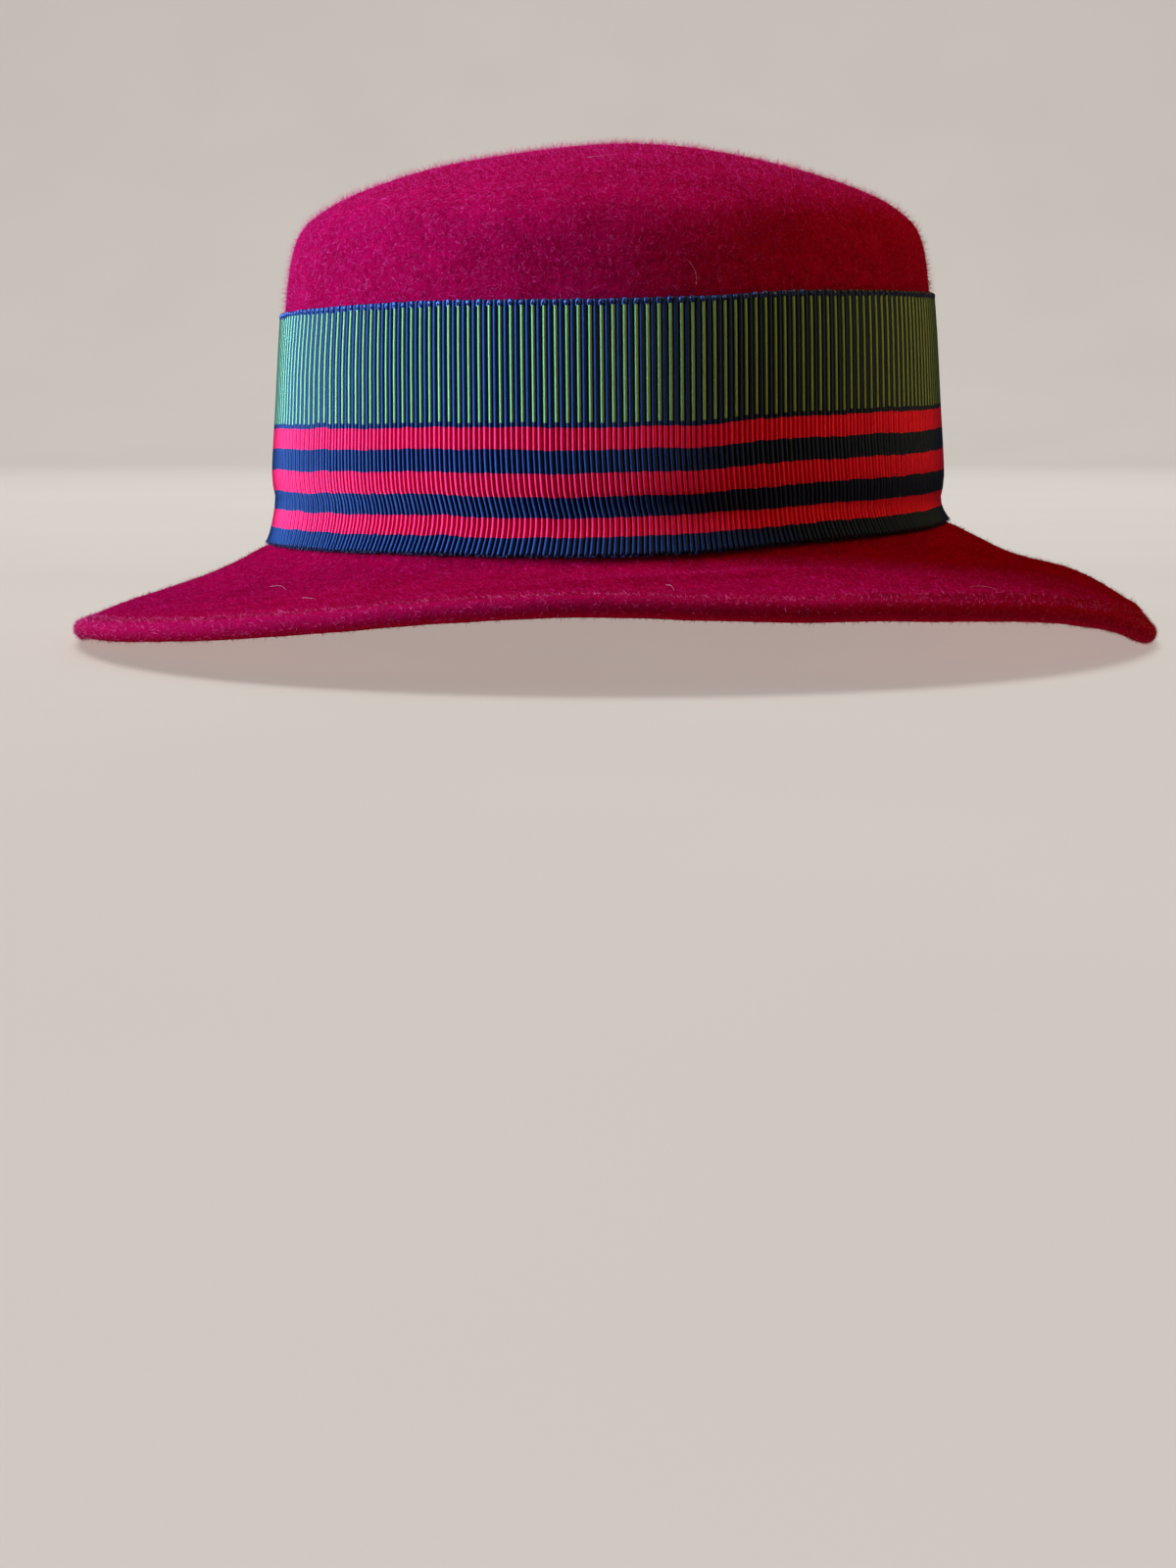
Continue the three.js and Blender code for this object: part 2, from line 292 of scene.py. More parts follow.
def round_table(column, azimuths):
    """Smooth curve through one column of the brim stations, continuous all the way round."""
    angles = np.array([row["azimuth"] for row in BRIM_STATIONS], float)
    values = np.array([row[column] for row in BRIM_STATIONS], float)
    angles = np.concatenate([angles[-1:] - 360, angles, angles[:2] + 360])
    values = np.concatenate([values[-1:], values, values[:2]])
    azimuths = np.mod(azimuths, 360)
    start = np.searchsorted(angles, azimuths, side="right") - 1
    end = start + 1
    length = angles[end] - angles[start]
    share = (azimuths - angles[start]) / length
    slope_from = (values[end] - values[start - 1]) / (angles[end] - angles[start - 1]) * length
    slope_to = (values[end + 1] - values[start]) / (angles[end + 1] - angles[start]) * length
    square = share**2
    cube = share**3
    return (
        (2 * cube - 3 * square + 1) * values[start]
        + (cube - 2 * square + share) * slope_from
        + (3 * square - 2 * cube) * values[end]
        + (cube - square) * slope_to
    )


def fold_height(azimuths, share):
    """Height that the folds add to the brim."""
    height = np.zeros_like(azimuths)
    for fold in FOLDS:
        around = bell((azimuths - fold["azimuth"]) / fold["span"])
        height += fold["rise"] * around * bell((share - fold["share"]) / fold["reach"])
    return height


def section_points(azimuths):
    """Points that the upper side of the felt passes through at each azimuth, from the apex to the edge."""
    cosine = np.cos(np.radians(azimuths))
    sine = np.sin(np.radians(azimuths))

    def ring(share, beyond, height, shift=0):
        x = (CROWN_HALF_WIDTH * share + beyond) * cosine + shift
        y = (CROWN_HALF_LENGTH * share + beyond) * sine
        return np.stack([x, y, np.broadcast_to(height, x.shape)], axis=-1)

    points = [ring(row["share"], 0, row["height"], row["shift"]) for row in CROWN_ROWS]
    width = round_table("width", azimuths)
    for name, share in BRIM_SHARES.items():
        height = round_table(name, azimuths) + fold_height(azimuths, share)
        points.append(ring(CROWN_ROWS[-1]["share"], width * share, height))
    return np.stack(points, axis=1)


def smooth_curves(controls):
    """Catmull-Rom curves through rows of points, with the same number of steps between any two."""
    first = 2 * controls[:, :1] - controls[:, 1:2]
    last = 2 * controls[:, -1:] - controls[:, -2:-1]
    padded = np.concatenate([first, controls, last], axis=1)[:, :, None, :]
    before, start, end, after = padded[:, :-3], padded[:, 1:-2], padded[:, 2:-1], padded[:, 3:]
    share = (np.arange(STEPS_PER_ROW) / STEPS_PER_ROW)[:, None]
    slope_from = (end - before) / 2
    slope_to = (after - start) / 2
    curved = (
        start
        + slope_from * share
        + (3 * (end - start) - 2 * slope_from - slope_to) * share**2
        + (2 * (start - end) + slope_from + slope_to) * share**3
    )
    curved = curved.reshape(len(controls), -1, 3)
    return np.concatenate([curved, controls[:, -1:]], axis=1)


class Sections:
    """Sections of the upper side of the felt at evenly spaced azimuths."""

    def __init__(self, count):
        self.azimuths = np.arange(count) * 360 / count
        self.points = smooth_curves(section_points(self.azimuths))
        steps = np.linalg.norm(np.diff(self.points, axis=1), axis=2)
        self.distances = np.concatenate([np.zeros((count, 1)), np.cumsum(steps, axis=1)], axis=1)
        self.edge = self.distances[:, -1]
        self.foot = self.distance_at_height(round_table("foot", self.azimuths))
        self.ribbon_top = self.foot - RIBBON_WIDTH
        self.brim_width = self.edge - self.foot

    def distance_at_height(self, heights):
        """How far down each section is, where it passes below the height for the last time."""
        above = self.points[:, :, 2] >= heights[:, None]
        last = above.shape[1] - 1 - np.argmax(above[:, ::-1], axis=1)
        rows = np.arange(len(last))
        upper = self.points[rows, last, 2]
        lower = self.points[rows, last + 1, 2]
        share = (upper - heights) / (upper - lower)
        return self.distances[rows, last] * (1 - share) + self.distances[rows, last + 1] * share

    def at(self, distances):
        """Points at distances from the apex, with one row of distances for each section."""
        points = np.empty(distances.shape + (3,))
        for index, wanted in enumerate(distances):
            for axis in range(3):
                along = self.points[index, :, axis]
                points[index, :, axis] = np.interp(wanted, self.distances[index], along)
        return points

    def frames(self, distances):
        """Points, directions out of the felt and directions towards the edge of the brim."""
        points = self.at(distances)
        onwards = unit(self.at(distances + NUDGE) - self.at(np.maximum(distances - NUDGE, 0)))
        around = np.roll(points, -1, axis=0) - np.roll(points, 1, axis=0)
        return points, unit(np.cross(onwards, around)), onwards

    def dome_rows(self, shares):
        """Distances at shares of the way from the apex to the ribbon's upper edge."""
        return self.ribbon_top[:, None] * shares

    def ribbon_rows(self, downs):
        """Distances of places below the ribbon's upper edge."""
        return self.ribbon_top[:, None] + np.asarray(downs)

    def brim_rows(self, shares):
        """Distances at shares of the brim's width."""
        return self.foot[:, None] + self.brim_width[:, None] * shares


def lumps(points, size, seed):
    """Smooth unevenness of about unit height, with features of the given size."""
    draw = np.random.default_rng(seed)
    waves = headings(draw, LUMP_WAVES) * 2 * math.pi / size * draw.uniform(0.6, 1.5, (LUMP_WAVES, 1))
    phases = draw.uniform(0, 2 * math.pi, LUMP_WAVES)
    return np.sin(points @ waves.T + phases).sum(axis=-1) / math.sqrt(LUMP_WAVES)


def ridge_height(azimuths, shares, widths):
    """Height of the finer ridges at places on the brim."""
    height = np.zeros_like(shares)
    for ridge in RIDGES:
        first, *_, last = ridge["line"]
        turned = np.where(azimuths < last - 360 + RIDGE_FADE, azimuths + 360, azimuths)
        line = np.interp(turned, list(ridge["line"]), list(ridge["line"].values()))
        distance = (shares - line) * widths
        reach = np.where(distance > 0, ridge["outside"], ridge["inside"])
        fade = ease((turned - first) / RIDGE_FADE) * ease((last - turned) / RIDGE_FADE)
        height += ridge["rise"] * fade * bell(distance / reach)
    return height


# Meshes


def new_object(name, vertices, faces, material):
    """Object from vertices in millimetres and arrays of faces, each with its own number of corners."""
    mesh = bpy.data.meshes.new(name)
    corners = np.concatenate([block.ravel() for block in faces]).astype(np.int32)
    sizes = np.concatenate([np.full(len(block), block.shape[1]) for block in faces])
    starts = (np.cumsum(sizes) - sizes).astype(np.int32)
    mesh.vertices.add(len(vertices))
    mesh.vertices.foreach_set("co", (vertices * MM).astype(np.float32).ravel())
    mesh.loops.add(len(corners))
    mesh.loops.foreach_set("vertex_index", corners)
    mesh.polygons.add(len(starts))
    mesh.polygons.foreach_set("loop_start", starts)
    mesh.update(calc_edges=True)
    mesh.shade_smooth()
    mesh.materials.append(material)
    made = bpy.data.objects.new(name, mesh)
    bpy.context.scene.collection.objects.link(made)
    return made


def add_values(mesh, name, values):
    """One number for each vertex, that a material can read."""
    mesh.attributes.new(name, "FLOAT", "POINT").data.foreach_set("value", values.astype(np.float32))


def ring_faces(rings, columns, closed=False):
    """Four-sided faces between rings of equally many points, and from the last to the first if closed."""
    ring = np.arange(rings if closed else rings - 1)[:, None]
    column = np.arange(columns)
    near = ring * columns
    far = (ring + 1) % rings * columns
    across = (column + 1) % columns
    faces = np.stack([near + column, far + column, far + across, near + across], axis=-1)
    return faces.reshape(-1, 4)


def pole_faces(pole, ring_start, columns, upwards):
    """Triangles between a pole and a ring, facing up or down where the ring lies level."""
    column = np.arange(columns)
    here = ring_start + column
    across = ring_start + (column + 1) % columns
    pole = np.full(columns, pole)
    return np.stack([pole, here, across] if upwards else [pole, across, here], axis=-1)


def strands(name, paths, radii, references, material, sides):
    """Many closed threads in one mesh. Each follows its path of a few points, and runs out to a tip."""
    count, steps = paths.shape[:2]
    radii = np.broadcast_to(radii, (count, steps))
    tangents = unit(np.gradient(paths, axis=1))
    side = unit(np.cross(tangents, references[:, None, :]))[:, :-1, None, :]
    other = np.cross(tangents[:, :-1, None, :], side)
    angles = np.arange(sides) * 2 * math.pi / sides
    circle = np.cos(angles)[:, None] * side + np.sin(angles)[:, None] * other
    rings = paths[:, :-1, None, :] + radii[:, :-1, None, None] * circle
    per_strand = (steps - 1) * sides + 1
    vertices = np.concatenate([rings.reshape(count, -1, 3), paths[:, -1:]], axis=1).reshape(-1, 3)
    offsets = (np.arange(count) * per_strand)[:, None, None]
    root = np.arange(sides) + offsets
    walls = ring_faces(steps - 1, sides)[:, ::-1] + offsets
    tip = pole_faces(per_strand - 1, (steps - 2) * sides, sides, False)[:, ::-1] + offsets
    blocks = [root.reshape(-1, sides), walls.reshape(-1, 4), tip.reshape(-1, 3)]
    return new_object(name, vertices, blocks, material)


# Felt


class FeltBody:
    """The fine felt, from the apex round the edge to the underside of the apex. The upper side and the edge
    are kept as points, directions out of the felt, and directions onwards to the edge and round it."""

    def __init__(self, sections):
        self.sections = sections
        dome = sections.dome_rows(np.linspace(0, 1, FELT_DOME_ROWS + 1)[1:-1])
        seat = sections.ribbon_rows(np.linspace(0, RIBBON_WIDTH, FELT_RIBBON_ROWS + 1)[:-1])
        brim = sections.brim_rows(np.linspace(0, 1, FELT_BRIM_ROWS))
        rows = np.concatenate([dome, seat, brim], axis=1)
        points, outward, onwards = sections.frames(rows)
        self.top = (points + outward * self.relief(rows, points)[..., None], outward, onwards)
        self.edge = self.edge_rings()

    def relief(self, distances, points):
        """How far the surface stands out of its plain form: ridges on the brim, and soft unevenness."""
        sections = self.sections
        widths = sections.brim_width[:, None]
        shares = (distances - sections.foot[:, None]) / widths
        on_brim = ease((shares - SEAT_ENDS["at"]) / SEAT_ENDS["over"])
        off_seat = 1 - ease((shares - SEAT_BEGINS["at"]) / SEAT_BEGINS["over"]) * (1 - on_brim)
        uneven = sum(one["rise"] * lumps(points, one["size"], one["seed"]) for one in UNEVENNESS)
        ridges = ridge_height(sections.azimuths[:, None], shares, widths)
        return ridges * on_brim + uneven * off_seat

    def edge_rings(self):
        """Half a circle round the edge, from the upper side to the underside."""
        point, outward, onwards = (field[:, -1] for field in self.top)
        radius = HEM_THICKNESS / 2
        angles = np.linspace(0, math.pi, EDGE_STEPS + 1)[1:]
        away = np.stack([outward * math.cos(angle) + onwards * math.sin(angle) for angle in angles], axis=1)
        along = np.stack([onwards * math.cos(angle) - outward * math.sin(angle) for angle in angles], axis=1)
        return (point - outward * radius)[:, None] + away * radius, away, along

    def underside(self):
        """Rings of the underside, from the hem to the inside of the crown."""
        sections = self.sections
        hem, hem_out, _ = sections.frames(sections.edge[:, None] - HEM_INWARDS)
        hem = hem - hem_out * np.array(HEM_DEPTHS)[:, None]
        start = 1 - (HEM_WIDTH + HEM_STEP) / sections.brim_width.mean()
        brim = sections.brim_rows(np.linspace(start - UNDERSIDE_MARGIN, UNDERSIDE_MARGIN, UNDERSIDE_ROWS))
        seat = sections.ribbon_rows(np.linspace(RIBBON_WIDTH, 0, INNER_RIBBON_ROWS))
        dome = sections.dome_rows(np.linspace(1, 0, INNER_DOME_ROWS + 1)[1:-1])
        inner, inner_out, _ = sections.frames(np.concatenate([brim, seat, dome], axis=1))
        return np.concatenate([hem, inner - inner_out * FELT_THICKNESS], axis=1)

    def build(self, shift, material):
        """The felt as one closed mesh that marks its cut edge."""
        rings = np.concatenate([self.top[0], self.edge[0], self.underside()], axis=1).transpose(1, 0, 2)
        ring_count, columns = rings.shape[:2]
        apex = np.array([CROWN_ROWS[0]["shift"], 0, CROWN_ROWS[0]["height"]])
        inner_apex = apex - [0, 0, FELT_THICKNESS]
        vertices = np.concatenate([rings.reshape(-1, 3), [apex, inner_apex]]) + shift
        vertices[:, 2] = np.maximum(vertices[:, 2], 0)
        body = ring_count * columns
        faces = [
            ring_faces(ring_count, columns),
            pole_faces(body, 0, columns, True),
            pole_faces(body + 1, body - columns, columns, False),
        ]
        made = new_object("hat_felt", vertices, faces, material)
        first = self.top[0].shape[1] * columns
        cut_edge = np.zeros(len(vertices))
        cut_edge[first : first + EDGE_STEPS * columns] = 1
        add_values(made.data, "cut_edge", cut_edge)
        return made


# Ribbon


class Ribbon:
    """The ribbed ribbon, worked out on the plain form of the felt."""

    def __init__(self, sections):
        self.sections = sections
        middle = sections.at(sections.ribbon_rows([RIBBON_WIDTH / 2]))[:, 0]
        steps = np.linalg.norm(np.roll(middle, -1, axis=0) - middle, axis=1)
        self.girth = steps.sum()
        self.arcs = np.concatenate([[0], np.cumsum(steps)])
        self.turns = np.concatenate([sections.azimuths, [360]])
        self.pair_pitch = self.girth / PAIR_COUNT
        self.length = self.girth + (LAP_TO - LAP_FROM) / 360 * self.girth

    def slip(self, azimuths, down):
        """Sideways slip of the ribs."""
        lean = LEAN * np.sin(np.radians(LEAN_MIDDLE - azimuths)) * np.interp(down, LEAN_DOWN, LEAN_SHARE)
        upright = UPRIGHT["share"] * bell((azimuths - UPRIGHT["azimuth"]) / UPRIGHT["span"])
        bow = BOW["size"] * math.sin(math.pi * min(down / BOW["down"], 1)) ** 2
        backwards = bow * bell((azimuths - BOW["azimuth"]) / BOW["span"])
        return np.interp(down, SLIP_DOWN, SLIP) + lean * (1 - upright) - backwards

    def azimuths_at(self, pairs, down):
        """Azimuths of places given in pairs of ribs."""
        arcs = pairs * self.pair_pitch
        plain = np.interp(arcs, self.arcs, self.turns)
        slipped = np.mod(arcs + self.slip(plain, down), self.girth)
        return np.interp(slipped, self.arcs, self.turns)

    def lift(self, pairs, down, depth):
        """Height over the felt at a depth in the ribbon, which has a second layer in the lap."""
        azimuths = self.azimuths_at(pairs, down)
        rise = np.clip((azimuths - LAP_FROM + LAP_RISE) / LAP_RISE, 0, 1)
        drop = np.clip((LAP_TO + LAP_DROP - azimuths) / LAP_DROP, 0, 1)
        return RIBBON_GAP + RIBBON_THICKNESS * (1 + np.minimum(ease(rise), drop) - depth)

    def place(self, pairs, down, height):
        """Points over the felt at places given in pairs of ribs, and the directions out of it and down."""
        azimuths = self.azimuths_at(pairs, down)
        turns = self.sections.azimuths
        fields = self.sections.frames(self.sections.ribbon_rows([down]))
        point, outward, downward = (
            np.stack([np.interp(azimuths, turns, field[:, 0, axis], period=360) for axis in range(3)], -1)
            for field in fields
        )
        return point + outward * height[:, None], outward, downward

    def build(self, shift, material):
        """The ribbon as one closed mesh, with rounded ribs on the front and a plain back."""
        rib = np.array(RIB_STEPS)
        steps = np.concatenate([rib * GREEN_SHARE, GREEN_SHARE + rib * (1 - GREEN_SHARE)])
        pairs = (np.arange(PAIR_COUNT)[:, None] + steps).ravel()
        profile = np.tile(np.sqrt(np.clip(1 - (2 * rib - 1) ** 2, 0, 1)), 2 * PAIR_COUNT)
        thickness = RIBBON_THICKNESS - RIB_RISE + RIB_RISE * profile
        rings = []
        for down in RIBBON_ROWS:
            share = RIBBON_EDGE_SHARE if down in (RIBBON_ROWS[0], RIBBON_ROWS[-1]) else 1
            rings.append(self.place(pairs, down, self.lift(pairs, down, 1) + share * thickness)[0])
        for down in RIBBON_BACK_ROWS:
            rings.append(self.place(pairs, down, np.full(len(pairs), RIBBON_GAP))[0])
        faces = ring_faces(len(rings), len(pairs), True)
        ribbon = new_object("ribbon", np.concatenate(rings) + shift, [faces], material)
        add_ribbon_uv(ribbon.data, pairs)
        azimuths = np.concatenate([self.azimuths_at(pairs, down) for down in RIBBON_ROWS + RIBBON_BACK_ROWS])
        # where the painted shade along the ribbon's cut end lies
        add_values(ribbon.data, "cut_end", bell((azimuths - LAP_TO - LAP_DROP / 2) / LAP_END_WIDTH))
        return ribbon

    def top_loops(self, shift, material):
        """Small thread loops standing along the upper edge of the ribbon."""
        draw = np.random.default_rng(LOOPS["seed"])
        count = PAIR_COUNT
        pairs = np.mod(np.arange(count) + LOOPS["offset"] + draw.normal(0, 0.02, count), count)
        lift = self.lift(pairs, LOOPS["down"], LOOPS["depth"])
        foot, outward, downward = self.place(pairs, LOOPS["down"], lift)
        around = unit(np.cross(outward, downward))
        angles = np.linspace(-LOOP_CURL, math.pi + LOOP_CURL, len(LOOP_RADII))
        width = LOOPS["width"] / 2 * draw.uniform(0.8, 1.15, count)
        height = LOOPS["height"] * draw.uniform(0.75, 1.2, count)
        lean = draw.normal(0, 0.15, count)
        sideways = width[:, None] * np.cos(angles) - (lean * height)[:, None] * np.sin(angles)
        upwards = height[:, None] * np.sin(angles)
        outwards = LOOPS["bulge"] * np.sin(angles)[:, None]
        path = foot[:, None] - around[:, None] * sideways[..., None] - downward[:, None] * upwards[..., None]
        path = path + outward[:, None] * outwards
        return strands("ribbon_top_loops", path + shift, LOOP_RADII, outward, material, sides=6)

    def fringe(self, shift, material):
        """Loose ends of warp threads along the ribbon's lower edge, in all directions but mostly down."""
        draw = np.random.default_rng(FRINGE["seed"])
        count = PAIR_COUNT * FRINGE["per_pair"]
        pairs = np.sort(draw.uniform(0, PAIR_COUNT, count))
        lift = self.lift(pairs, FRINGE["down"], draw.uniform(0.15, 0.9, count))
        root, outward, downward = self.place(pairs, FRINGE["down"], lift)
        around = np.cross(outward, downward)
        sideways = draw.normal(0, 0.8, (count, 1))
        standing = draw.uniform(0.0, 0.5, (count, 1))
        first = unit(downward + 0.5 * sideways * around + standing * outward)
        second = unit(first + sideways * around)
        half = FRINGE["length"] * draw.uniform(0.4, 1.3, (count, 1)) / 2
        paths = np.stack([root, root + first * half, root + (first + second) * half], axis=1)
        radii = FRINGE_RADII * draw.uniform(0.6, 1.3, (count, 1))
        return strands("ribbon_fringe", paths + shift, radii, headings(draw, count), material, sides=4)


def add_ribbon_uv(mesh, pairs):
    """UV map of the ribbon laid out flat: round the hat along U, and down from the upper edge along V."""
    downs = np.array(RIBBON_ROWS + RIBBON_BACK_ROWS) / RIBBON_WIDTH
    ring = np.arange(len(downs))[:, None]
    column = np.arange(len(pairs))
    u = np.concatenate([pairs, [PAIR_COUNT]]) / PAIR_COUNT
    far = (ring + 1) % len(downs)
    corners = ((column, ring), (column, far), (column + 1, far), (column + 1, ring))
    places = [np.stack(np.broadcast_arrays(u[along], downs[down]), -1) for along, down in corners]
    layer = mesh.uv_layers.new(name="ribs")
    layer.uv.foreach_set("vector", np.stack(places, axis=2).astype(np.float32).ravel())


# Nap


def scatter(points, outward, onwards, count, draw):
    """Random places on a grid of a surface, even over its area, with the directions there."""
    beside = np.roll(points, -1, axis=0)
    crossing = np.cross(beside[:, 1:] - points[:, :-1], points[:, 1:] - beside[:, :-1])
    area = np.linalg.norm(crossing, axis=-1).ravel()
    cells = draw.choice(len(area), size=count, p=area / area.sum())
    i, j = np.divmod(cells, points.shape[1] - 1)
    after = (i + 1) % len(points)
    a, b = draw.random(count)[:, None], draw.random(count)[:, None]

    def blend(field):
        near = field[i, j] * (1 - b) + field[i, j + 1] * b
        far = field[after, j] * (1 - b) + field[after, j + 1] * b
        return near * (1 - a) + far * a

    return blend(points), unit(blend(outward)), unit(blend(onwards))


def nap(row, grid, shift, material):
    """Short wool fibres standing on part of the felt. They all lean a little towards the edge."""
    draw = np.random.default_rng(row["seed"])
    count = row["count"]
    point, outward, onwards = scatter(*grid, count, draw)
    around = np.cross(outward, onwards)
    angle = draw.uniform(0, 2 * math.pi, count)[:, None]
    lying = np.cos(angle) * around + np.sin(angle) * onwards + row["comb"] * onwards
    standing = (row["rise"] * draw.uniform(0.2, 1.8, count))[:, None]
    first = unit(lying + outward * standing)
    second = unit(first + FIBRE_STRAY * draw.normal(size=(count, 3)) + FIBRE_LIFT * outward)
    half = (row["length"] * draw.uniform(0.5, 1.5, count) / 2)[:, None]
    root = point - outward * FIBRE_ROOT
    middle = root + first * half
    stops = [root, middle, middle + second * half] if row["bent"] else [root, middle + first * half]
    paths = np.stack(stops, axis=1) + shift
    paths[..., 2] = np.maximum(paths[..., 2], FIBRE_CLEARANCE)
    taper = np.linspace(1.0, FIBRE_TIP, len(stops))
    radii = row["radius"] * taper * draw.uniform(0.7, 1.3, (count, 1))
    return strands(row["name"], paths, radii, headings(draw, count), material, sides=3)


def stray_hairs(sections, shift, material):
    """The few long pale hairs that lie on the felt."""
    draw = np.random.default_rng(STRAY_SEED)
    columns = len(sections.azimuths)
    steps = np.linspace(0, 1, HAIR_STEPS)
    paths = []
    for hair in STRAY_HAIRS:
        index = int(round(hair["azimuth"] / 360 * columns))
        fields = sections.frames(np.full((columns, 1), hair["distance"]))
        point, outward, onwards = (field[index, 0] for field in fields)
        around = np.cross(outward, onwards)
        turn = np.radians(hair["heading"]) + hair["curl"] * (steps - 0.5)
        stride = hair["length"] / (HAIR_STEPS - 1)
        along = (np.cumsum(np.cos(turn)) * stride)[:, None]
        across = (np.cumsum(np.sin(turn)) * stride)[:, None]
        lift = (hair["lift"] + HAIR_LIFT * np.sin(math.pi * steps) * draw.uniform(0.7, 1.3))[:, None]
        paths.append(point + along * around + across * onwards + lift * outward)
    radii = HAIR_RADIUS * np.linspace(1, 0.5, HAIR_STEPS)
    paths = np.array(paths) + shift
    return strands("stray_hairs", paths, radii, headings(draw, len(paths)), material, sides=5)


# Materials


class Nodes:
    """Short ways to add nodes to a tree."""

    def __init__(self, tree):
        self.tree = tree

    def add(self, kind, inputs, **settings):
        node = self.tree.nodes.new(kind)
        for name, value in settings.items():
            setattr(node, name, value)
        self.feed(node, inputs)
        return node

    def feed(self, node, inputs):
        """Sets or links inputs, which go by their names or numbers."""
        for key, value in inputs.items():
            socket = node.inputs[key]
            if isinstance(value, bpy.types.NodeSocket):
                self.tree.links.new(value, socket)
            elif socket.type == "RGBA":
                socket.default_value = (*value, 1.0)
            else:
                socket.default_value = value

    def math(self, operation, *values):
        return self.add("ShaderNodeMath", dict(enumerate(values)), operation=operation).outputs[0]

    def range(self, value, low, high, to_low=0.0, to_high=1.0, shape="LINEAR"):
        inputs = {"Value": value, "From Min": low, "From Max": high, "To Min": to_low, "To Max": to_high}
        return self.add("ShaderNodeMapRange", inputs, interpolation_type=shape).outputs["Result"]

    def mix(self, share, first, second, blend="MIX"):
        inputs = {0: share, 6: first, 7: second}
        return self.add("ShaderNodeMix", inputs, data_type="RGBA", blend_type=blend).outputs[2]

    def mix_value(self, share, first, second):
        return self.add("ShaderNodeMix", {0: share, 2: first, 3: second}).outputs[0]

    def noise(self, vector, scale, detail, roughness=0.5, distortion=0.0):
        names = ("Vector", "Scale", "Detail", "Roughness", "Distortion")
        inputs = dict(zip(names, (vector, scale, detail, roughness, distortion)))
        return self.add("ShaderNodeTexNoise", inputs).outputs["Fac"]

    def bump(self, height, distance, below=None):
        node = self.add("ShaderNodeBump", {"Height": height, "Distance": distance})
        if below:
            self.feed(node, {"Normal": below})
        return node.outputs["Normal"]

    def place(self):
        return self.add("ShaderNodeTexCoord", {}).outputs["Object"]

    def values(self, name):
        """The numbers that a mesh keeps for its vertices."""
        return self.add("ShaderNodeAttribute", {}, attribute_name=name).outputs["Fac"]


class Material(Nodes):
    """A new material with one shader."""

    def __init__(self, name):
        self.made = bpy.data.materials.new(name)
        self.made.use_nodes = True
        super().__init__(self.made.node_tree)
        self.tree.nodes.clear()
        self.shader = self.add("ShaderNodeBsdfPrincipled", {})
        self.add("ShaderNodeOutputMaterial", {"Surface": self.shader.outputs["BSDF"]})

    def paint(self, inputs):
        self.feed(self.shader, inputs)


FELT_COLOUR = (0.37, 0.0009, 0.04)
FELT_SHADE = (0.28, 0.0006, 0.027)
FELT_DEPTH = (0.16, 0.0004, 0.014)
FELT_FLECK = (0.55, 0.04, 0.14)
FELT_EDGE = (0.32, 0.002, 0.034)
NAP_COLOUR = (0.345, 0.002, 0.041)
# Painted shade that darkens the colour of the brim
BRIM_PAINTED_SHADE = (0.8, 0.4, 0.58)


def paint_brim_shade(nodes, place, body):
    """Painted shade: the brim's colour darkened, as the brim looks darker seen at a low angle. The change
    lies under the ribbon.
    """
    height = nodes.add("ShaderNodeSeparateXYZ", {"Vector": place}).outputs["Z"]
    return nodes.mix(nodes.range(height, 0.03, 0.045, 1.0, 0.0), body, BRIM_PAINTED_SHADE, "MULTIPLY")


def matted_fibres(nodes, place):
    """Thin lines in patches, running in all directions."""
    lines = 0.0
    for scale in (450, 640):
        waves = nodes.noise(place, scale, detail=1, distortion=1.2)
        from_line = nodes.math("ABSOLUTE", nodes.math("SUBTRACT", waves, 0.5))
        thin = nodes.range(from_line, 0.0, 0.03, 1.0, 0.0)
        patch = nodes.range(nodes.noise(place, scale * 1.7, detail=0), 0.5, 0.6)
        lines = nodes.math("MAXIMUM", lines, nodes.math("MULTIPLY", thin, patch))
    return lines


def felt_material():
    """Wool felt: mottled, finely grained, with short paler fibres matted in all directions."""
    nodes = Material("wool_felt")
    place = nodes.place()
    clouds = nodes.noise(place, 90, detail=3)
    grain = nodes.noise(place, 1100, detail=3, roughness=0.6)
    clumps = nodes.noise(place, 620, detail=3, roughness=0.65, distortion=0.4)
    body = nodes.mix(nodes.range(clouds, 0.35, 0.65), FELT_SHADE, FELT_COLOUR)
    body = nodes.mix(nodes.range(grain, 0.3, 0.7, 0.0, 0.4), body, FELT_SHADE)
    body = nodes.mix(nodes.range(clumps, 0.35, 0.55, 0.55, 0.0), body, FELT_DEPTH)
    fibres = matted_fibres(nodes, place)
    body = nodes.mix(nodes.math("MULTIPLY", fibres, 0.6), body, FELT_FLECK)
    # painted shade darkens the brim
    body = paint_brim_shade(nodes, place, body)
    body = nodes.mix(nodes.math("MULTIPLY", nodes.values("cut_edge"), 0.6), body, FELT_EDGE)
    normal = nodes.bump(clumps, 0.0003)
    normal = nodes.bump(grain, 0.00018, normal)
    normal = nodes.bump(fibres, 0.00006, normal)
    rough = nodes.range(grain, 0.3, 0.7, 0.88, 1.0)
    nodes.paint({"Base Color": body, "Roughness": rough, "Normal": normal, "Specular IOR Level": 0.0})
    return nodes.made


def nap_material(name, palest):
    """The fibres that stand out of the felt, from its own colour to a paler one."""
    nodes = Material(name)
    place = nodes.place()
    tint = nodes.range(nodes.noise(place, 900, detail=0), 0.35, 0.7)
    # painted shade darkens the fibres on the brim too
    body = paint_brim_shade(nodes, place, nodes.mix(tint, NAP_COLOUR, palest))
    rough = nodes.range(tint, 0, 1, 0.7, 0.85)
    nodes.paint({"Base Color": body, "Roughness": rough, "Specular IOR Level": 0.0})
    return nodes.made


